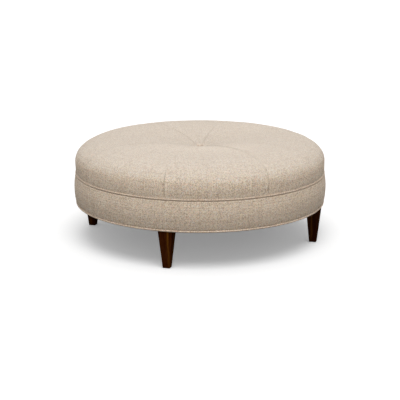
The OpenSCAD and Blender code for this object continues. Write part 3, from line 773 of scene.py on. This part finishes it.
def tuftFolds(radius, angle):
    # pull folds that fan out from the button, a few short ones in each panel and some long ones, as
    # their depth and the painted shade along them
    draw = np.random.default_rng(40)
    count = cushion["foldsPerPanel"] * cushion["panels"]
    folds = []
    for fold in range(count):
        middle = (fold + 0.5 + draw.uniform(-0.22, 0.22)) * 2 * math.pi / count
        reach = draw.uniform(0.035, 0.080)
        share = draw.uniform(0.5, 1.0)
        lean = draw.uniform(-0.08, 0.08)
        folds.append((middle, reach, share, lean, cushion["foldWidth"]))
    for degrees, reach, width in cushion["longFolds"]:
        folds.append((math.radians(degrees), reach, 0.5, 0.0, width))
    depths = np.zeros(np.broadcast(radius, angle).shape)
    marks = np.zeros_like(depths)
    for middle, reach, share, lean, width in folds:
        turn = (angle - middle + math.pi) % (2 * math.pi) - math.pi
        away = radius * turn - lean * (radius - 0.02)
        across = np.exp(-(away / (width + 0.06 * radius)) ** 2)
        depths += cushion["foldDepth"] * share * np.exp(-radius / reach) * across
        narrow = np.exp(-(away / (width + 0.018 * radius)) ** 2)
        marks += share * np.exp(-(radius / reach / 1.4) ** 2) * narrow
    start = np.clip((radius - cushion["foldStart"]) / cushion["foldStart"], 0, 1)
    return depths * start, marks * start


def sewCushion():
    profile = cushionProfile()
    rows = len(profile)
    panelAngle = 2 * math.pi / cushion["panels"]
    swell, swellColumns = settledCover(profile)
    columns = cushion["panelColumns"]
    even = np.linspace(0, 1, columns + 1)
    near = np.array(cushion["seamColumns"])
    made = []
    for number in range(cushion["panels"]):
        share = np.zeros((rows, columns + 1))
        for i, (radius, _, _) in enumerate(profile):
            width = radius * panelAngle
            left = np.minimum(near / width, even[:len(near)])
            middle = np.linspace(left[-1], 1 - left[-1], columns + 1 - 2 * (len(near) - 1))
            share[i] = np.concatenate([left[:-1], middle, 1 - left[:-1][::-1]])
        radius = profile[:, 0, None]
        angle = (number + share) * panelAngle
        base = np.stack([radius * np.cos(angle), radius * np.sin(angle),
                         np.repeat(profile[:, 1, None], columns + 1, axis=1)], axis=2)
        normals = gridNormals(base, False)
        distance = np.minimum(share, 1 - share) * radius * panelAngle
        # the dip fades out behind the seat welt
        shown = np.clip((profile[:, 2, None] - cushion["shownFrom"]) / cushion["shownFrom"], 0, 1)
        # the seams are taut on the side, and on the top each in its own way, most of all near the button
        following = (number + 1) % cushion["panels"]
        bothSeams = zip(cushion["onTop"][number], cushion["onTop"][following])
        taut, reach, wide = (np.where(share < 0.5, first, second) for first, second in bothSeams)
        taut = taut * (cushion["tautFar"] + (1 - cushion["tautFar"]) * np.exp(-(radius / reach) ** 4))
        onSide = np.where(share < 0.5, cushion["onSide"][number], cushion["onSide"][following])
        level = np.clip((normals[..., 2] - cushion["levelFrom"]) / cushion["levelOver"], 0, 1)
        tight = onSide + (taut - onSide) * level
        shift = -seamDip(distance, share, tight) * shown
        folds, foldShades = tuftFolds(radius, angle)
        shift -= folds
        shift += cushion["waves"] * wavy(angle + profile[:, 2, None] * 9.0, 7, 5, 3, 17) * shown
        shift -= cushion["levelDrop"] * level
        if swell is not None:
            place = share * swellColumns
            left = np.floor(place).astype(int)
            part = place - left
            span = swell.shape[1]
            first = np.take_along_axis(swell, (number * swellColumns + left) % span, axis=1)
            second = np.take_along_axis(swell, (number * swellColumns + left + 1) % span, axis=1)
            shift += first * (1 - part) + second * part
        outer = base + normals * pressedBack(shift, radius)[..., None]
        weave = np.stack([
            radius * (share - 0.5) * panelAngle,
            np.repeat(profile[:, 2, None], columns + 1, axis=1),
            np.full(share.shape, number * 3.7),
        ], axis=2)
        name = "seat_panel_" + str(number + 1)
        # painted shade along the seams and folds, weaker on the top, less a painted highlight on the ridge
        # beside each seam
        width = cushion["creaseWidth"] + (wide - cushion["creaseWidth"]) * level
        fromButton = np.clip((radius - 0.016) / 0.020, 0, 1)
        seamShadeLine = np.exp(-(distance / width) ** 2) * shown * tight
        crease = seamShadeLine * (1 - cushion["levelCrease"] * level) * fromButton
        paintedRidgeLight = cushion["ridgeHighlight"] * seamRidge(distance, share) * shown * (1 - level)
        crease += cushion["foldCrease"] * foldShades * fromButton - paintedRidgeLight
        upward = np.clip(normals[..., 2], 0, 1)
        # painted light and shade: paler and darker spots on the top, a paler foot at the button, and on the
        # side darker near the welt and paler higher up
        tone = sum(mark * np.exp(-(np.hypot(base[..., 0] - x, base[..., 1] - y) / spread) ** 2)
                   for x, y, spread, mark in cushion["paintedLightSpots"])
        tone = tone + np.interp(base[..., 2], *zip(*cushion["paintedLightByHeight"])) * (radius > cushion["toneSide"])
        mesh = shellMesh(name, outer, weave, cushion["thickness"], False,
                         crease=crease, upward=upward, tone=tone)
        piece = dressPiece("cushion_" + name, mesh, coverCloth, [name])
        made.append(piece)
    return made


panels = sewCushion()
print("cushion sewn,", len(panels), "panels")

# band: one strip of cloth over the padding, closed by a seam at the back

band = {
    "reach": 0.01035,  # how far the belly stands out past the welts' line
    "bulge": 0.0060,
    "turnIn": 0.0013,  # how far the strip turns in under the welts
    "clearance": 0.0008,
    "thickness": 0.0010,
    "rows": 38,
    "columns": 480,
    "seamAngle": 112.5,  # degrees
    "seamColumns": (0, 0.0012, 0.0026, 0.0055),
    "seamGroove": 0.0013,
    "seamWidth": 0.0022,
    "hemGap": 0.0008,
    "longWaves": 0.0008,
    "shortWaves": 0.0004,
    # painted light and shade by height, darker towards the bottom and just under the seat welt: height and
    # tone mark, as on the cushion's side
    "paintedLightByHeight": ((0.168, -0.2), (0.188, -0.9), (0.212, -0.6), (0.230, 0.2), (0.262, 0.8), (0.276, 0.6),
               (0.286, -0.7)),
}


def wrapBand():
    lowBase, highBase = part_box("base_welt")
    baseHeight = (lowBase.z + highBase.z) / 2
    low = baseHeight + welt["radius"] + band["clearance"]
    high = welt["height"] - welt["radius"] - band["clearance"]
    middle = (low + high) / 2
    half = (high - low) / 2
    belly = welt["line"] + band["reach"]
    climb = np.sin(np.linspace(-1, 1, band["rows"]) * math.pi / 2)
    radius = belly - band["bulge"] * climb ** 2 - band["turnIn"] * (1 - (1 - np.abs(climb) ** 16) ** 0.5)
    height = middle + half * climb
    # the strip ends in behind both welts
    hem = welt["radius"] + band["hemGap"]
    under = np.radians(np.linspace(180, 100, 6))
    over = np.radians(np.linspace(-100, -166, 6))
    radius = np.concatenate([welt["line"] + hem * np.cos(under), radius, welt["line"] + hem * np.cos(over)])
    height = np.concatenate([baseHeight + hem * np.sin(under), height, welt["height"] + hem * np.sin(over)])
    run = np.concatenate([[0], np.cumsum(np.hypot(np.diff(radius), np.diff(height)))])
    start = math.radians(band["seamAngle"])
    near = np.array(band["seamColumns"]) / belly
    inside = np.linspace(near[-1], 2 * math.pi - near[-1], band["columns"] - 2 * len(near) + 2)
    turn = np.concatenate([near[:-1], inside, 2 * math.pi - near[:-1][::-1]])
    angle = start + turn
    base = np.stack([radius[:, None] * np.cos(angle), radius[:, None] * np.sin(angle),
                     np.repeat(height[:, None], len(angle), axis=1)], axis=2)
    shown = np.exp(-(((height - middle) / half) ** 4))[:, None]
    shift = band["longWaves"] * shown * wavy(angle[None, :], 21, 6, 2, 19)
    shift = shift + band["shortWaves"] * shown * wavy(angle[None, :] + height[:, None] * 30, 22, 4, 9, 33)
    distance = np.minimum(turn, 2 * math.pi - turn) * belly
    groove = np.exp(-(distance / band["seamWidth"]) ** cushion["seamSharp"])[None, :]
    shift = shift - band["seamGroove"] * groove * shown
    outer = base + gridNormals(base, False) * shift[..., None]
    weave = np.stack([np.repeat((turn * belly)[None, :], len(radius), axis=0),
                      np.repeat(run[:, None], len(angle), axis=1),
                      np.full((len(radius), len(angle)), 51.0)], axis=2)
    # painted shade in the band's back seam
    crease = np.repeat(np.exp(-(distance / cushion["creaseWidth"]) ** 2)[None, :], len(radius), axis=0)
    # painted light and shade on the band, by height
    tone = np.repeat(np.interp(height, *zip(*band["paintedLightByHeight"]))[:, None], len(angle), axis=1)
    mesh = shellMesh("band_cover_cloth", outer, weave, band["thickness"], False, crease=crease, tone=tone)
    piece = dressPiece("band_cover_cloth", mesh, coverCloth, ["band_cover"])


wrapBand()
print("band wrapped")

# welts: a cord sewn into a bias strip, with its flange between the layers

weltLook = {"around": 16, "along": 900, "wobble": 0.00022, "sagShare": 0.5, "flangeLap": 0.004}


def sewWelt(name, node, flangeLow, flangeThickness, flangeStart, seed, tone):
    low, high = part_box(node)
    middle = (low.z + high.z) / 2
    radius = welt["radius"]
    count = weltLook["along"]
    angle = np.arange(count) / count * 2 * math.pi
    turn = np.linspace(0, 2 * math.pi, weltLook["around"], endpoint=False)
    # the section is the cord's tube and a strip that runs inwards from it
    flangeEnd = welt["line"] - radius * 0.9 + weltLook["flangeLap"]
    tube = [(welt["line"] + radius * math.cos(t), middle + radius * math.sin(t), 1.0) for t in turn]
    strip = [
        (flangeStart, middle + flangeLow, 0.0),
        (flangeEnd, middle + flangeLow, 0.0),
        (flangeEnd, middle + flangeLow + flangeThickness, 0.0),
        (flangeStart, middle + flangeLow + flangeThickness, 0.0),
    ]
    wobble = weltLook["wobble"] * wavy(angle, seed, 9, 5, 60)
    sag = weltLook["wobble"] * wavy(angle, seed + 1, 7, 3, 24)
    points, weave, faces = [], [], []
    for section in (tube, strip):
        start = len(points)
        size = len(section)
        for i, (r, z, moves) in enumerate(section):
            out = r - welt["line"]
            up = z - middle
            for j in range(count):
                swell = 1 + moves * wobble[j] / radius
                rr = welt["line"] + out * swell
                zz = middle + up * swell + moves * sag[j] * weltLook["sagShare"]
                points.append((rr * math.cos(angle[j]), rr * math.sin(angle[j]), zz))
                weave.append((turn[i] * radius if moves else r, angle[j] * welt["line"], seed))
        for i in range(size):
            a, b = start + i * count, start + (i + 1) % size * count
            for j in range(count):
                k = (j + 1) % count
                faces.append((a + j, a + k, b + k, b + j))
    mesh = bpy.data.meshes.new(name)
    mesh.from_pydata(points, [], faces)
    carryWeave(mesh, np.array(weave))
    carryMark(mesh, "tone", np.full(len(points), tone))
    mesh.update()
    dressPiece(name, mesh, weltCloth, [node])


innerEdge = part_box("dust_cover")[1].x + 0.0003
# painted shade on the seat welt and painted light on the base welt
sewWelt("seat_welt_tube", "seat_welt", -0.0006, 0.0012, innerEdge, seed=61, tone=-0.6)
sewWelt("base_welt_tube", "base_welt", -welt["radius"], 0.0010, innerEdge, seed=71, tone=1.3)
print("welts sewn")

# button: a covered dome whose cloth is gathered under its rim

button = {
    "around": 64,
    "rings": 16,
    "gathers": 14,
    "gatherDepth": 0.00035,
    "fullness": 2.3,
    "rimHeight": 0.0030,
    "rimDrop": 0.0060,
    "underside": 0.0006,
    "weaveSeed": 90.0,
    # painted light: the button's foot is set to count as level and is toned paler, against the shade in the
    # tuft's pit
    "upward": (0.8, 0.2),  # at its foot, and what its crown has more
    "tone": (4.0, -3.5),
}


def coverButton():
    low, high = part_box("tuft_button")
    radius = (high.x - low.x) / 2
    height = high.z - low.z
    angle = np.arange(button["around"]) / button["around"] * 2 * math.pi
    lift = np.linspace(-0.35, math.pi / 2, button["rings"])
    rim = button["rimHeight"]
    power = 2 / button["fullness"]
    ringRadius = np.where(lift < 0, radius * np.cos(lift), radius * np.cos(lift).clip(0) ** power)
    ringHeight = np.where(lift < 0, rim + lift * button["rimDrop"],
                          rim + (height - rim) * np.sin(lift).clip(0) ** power)
    points, weave = [], []
    for r, z, turn in zip(ringRadius, ringHeight, lift):
        fold = button["gatherDepth"] * np.sin(button["gathers"] * angle + 0.6 * np.sin(3 * angle))
        rr = r + fold * math.exp(-((turn + 0.1) / 0.4) ** 2)
        for j, a in enumerate(angle):
            points.append((rr[j] * math.cos(a), rr[j] * math.sin(a), low.z + z))
            weave.append((rr[j] * math.cos(a) * 1.2, rr[j] * math.sin(a) * 1.2, button["weaveSeed"]))
    # the last ring gives way to a point that closes the crown, and another point closes the underside
    count = button["around"]
    whole = button["rings"] - 1
    faces = gridFaces(whole, count, True)
    crown = whole * count
    last = crown - count
    faces += [(last + j, last + (j + 1) % count, crown) for j in range(count)]
    faces += [((j + 1) % count, j, crown + 1) for j in range(count)]
    points = points[:crown] + [(0, 0, low.z + height), (0, 0, low.z + button["underside"])]
    weave = weave[:crown] + [(0, 0, button["weaveSeed"])] * 2
    mesh = bpy.data.meshes.new("tuft_button_cloth")
    mesh.from_pydata(points, [], faces)
    carryWeave(mesh, np.array(weave))
    # painted light on the button, paler at its foot
    lifted = np.clip(np.array(points)[:, 2] - low.z, 0, height) / height
    for mark in ("upward", "tone"):
        foot, more = button[mark]
        carryMark(mesh, mark, foot + more * lifted)
    mesh.update()
    dressPiece("tuft_button_cloth", mesh, coverCloth, ["tuft_button"])


coverButton()
print("button covered")

# dust cover: thin black cloth stapled under the frame, slack between its staples

dustCover = {
    "rings": 40,
    "columns": 256,
    "thickness": 0.0006,
    "sag": 0.0035,
    "pucker": 0.0006,
    "puckerReach": 0.030,
    "staples": 32,
}


def hangDustCover():
    low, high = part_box("dust_cover")
    edge = high.x
    share = np.linspace(0.004, 1, dustCover["rings"]) ** 0.8
    radius = edge * share
    angle = np.arange(dustCover["columns"]) / dustCover["columns"] * 2 * math.pi
    slack = 1 - share[:, None] ** 2
    ripple = wavy(angle[None, :] + share[:, None] * 4.0, 31, 6, 2, 11)
    down = dustCover["sag"] * slack * (1 + 0.35 * ripple)
    between = np.cos(dustCover["staples"] * (angle - math.pi / dustCover["staples"]))
    fromEdge = (1 - share[:, None]) * edge
    nearEdge = np.exp(-fromEdge / dustCover["puckerReach"])
    puckers = dustCover["pucker"] * nearEdge * (1 - between[None, :]) / 2
    height = high.z - dustCover["thickness"] - down - puckers
    outer = np.stack([radius[:, None] * np.cos(angle), radius[:, None] * np.sin(angle), height], axis=2)
    mesh = shellMesh("dust_cover_cloth", outer, outer, -dustCover["thickness"], True)
    piece = dressPiece("dust_cover_cloth", mesh, finishes["dust_cloth"], ["dust_cover"])


hangDustCover()
print("dust cover hung")

# floor and room


def layFloor(setup):
    made = Recipe("floor")
    half = setup["floorSize"] / 2
    mesh = bpy.data.meshes.new("floor")
    corners = [(-half, -half, 0), (half, -half, 0), (half, half, 0), (-half, half, 0)]
    mesh.from_pydata(corners, [], [(0, 1, 2, 3)])
    floor = bpy.data.objects.new("floor", mesh)
    scene.collection.objects.link(floor)
    tree = made.tree
    seen = seenDirectly(tree)
    colour = made.blend(seen, (*setup["floorBounce"], 1.0), (*setup["floorColour"], 1.0))
    made.finish(colour=colour, roughness=0.9, gloss=0.0)
    glow = tree.nodes.new("ShaderNodeEmission")
    made.plug(glow.inputs["Strength"], made.math("MULTIPLY", seen, setup["floorGlow"]))
    both = tree.nodes.new("ShaderNodeAddShader")
    made.plug(both.inputs[0], made.shader.outputs[0])
    made.plug(both.inputs[1], glow.outputs[0])
    # from below, the floor lets the ottoman's underside show
    below = tree.nodes.new("ShaderNodeMixShader")
    made.plug(below.inputs[0], tree.nodes.new("ShaderNodeNewGeometry").outputs["Backfacing"])
    made.plug(below.inputs[1], both.outputs[0])
    made.plug(below.inputs[2], tree.nodes.new("ShaderNodeBsdfTransparent").outputs[0])
    made.plug(tree.nodes["Material Output"].inputs["Surface"], below.outputs[0])
    mesh.materials.append(made.material)


def seenDirectly(tree):
    # 1 for what the camera sees, also in gloss or glass, and 0 for the light that falls on things
    light = tree.nodes.new("ShaderNodeLightPath").outputs
    most = light["Is Camera Ray"]
    for name in ("Is Glossy Ray", "Is Transmission Ray"):
        larger = tree.nodes.new("ShaderNodeMath")
        larger.operation = "MAXIMUM"
        tree.links.new(most, larger.inputs[0])
        tree.links.new(light[name], larger.inputs[1])
        most = larger.outputs[0]
    return most


def lightRoom(setup):
    world = bpy.data.worlds.new("room")
    scene.world = world
    world.use_nodes = True
    tree = world.node_tree
    level = tree.nodes.new("ShaderNodeMapRange")
    tree.links.new(seenDirectly(tree), level.inputs["Value"])
    level.inputs["To Min"].default_value = setup["roomLight"]
    level.inputs["To Max"].default_value = 1.0
    background = tree.nodes["Background"]
    tree.links.new(level.outputs["Result"], background.inputs["Strength"])
    background.inputs["Color"].default_value = (1, 1, 1, 1)


layFloor(studio)
lightRoom(studio)
print("floor laid and room lit")
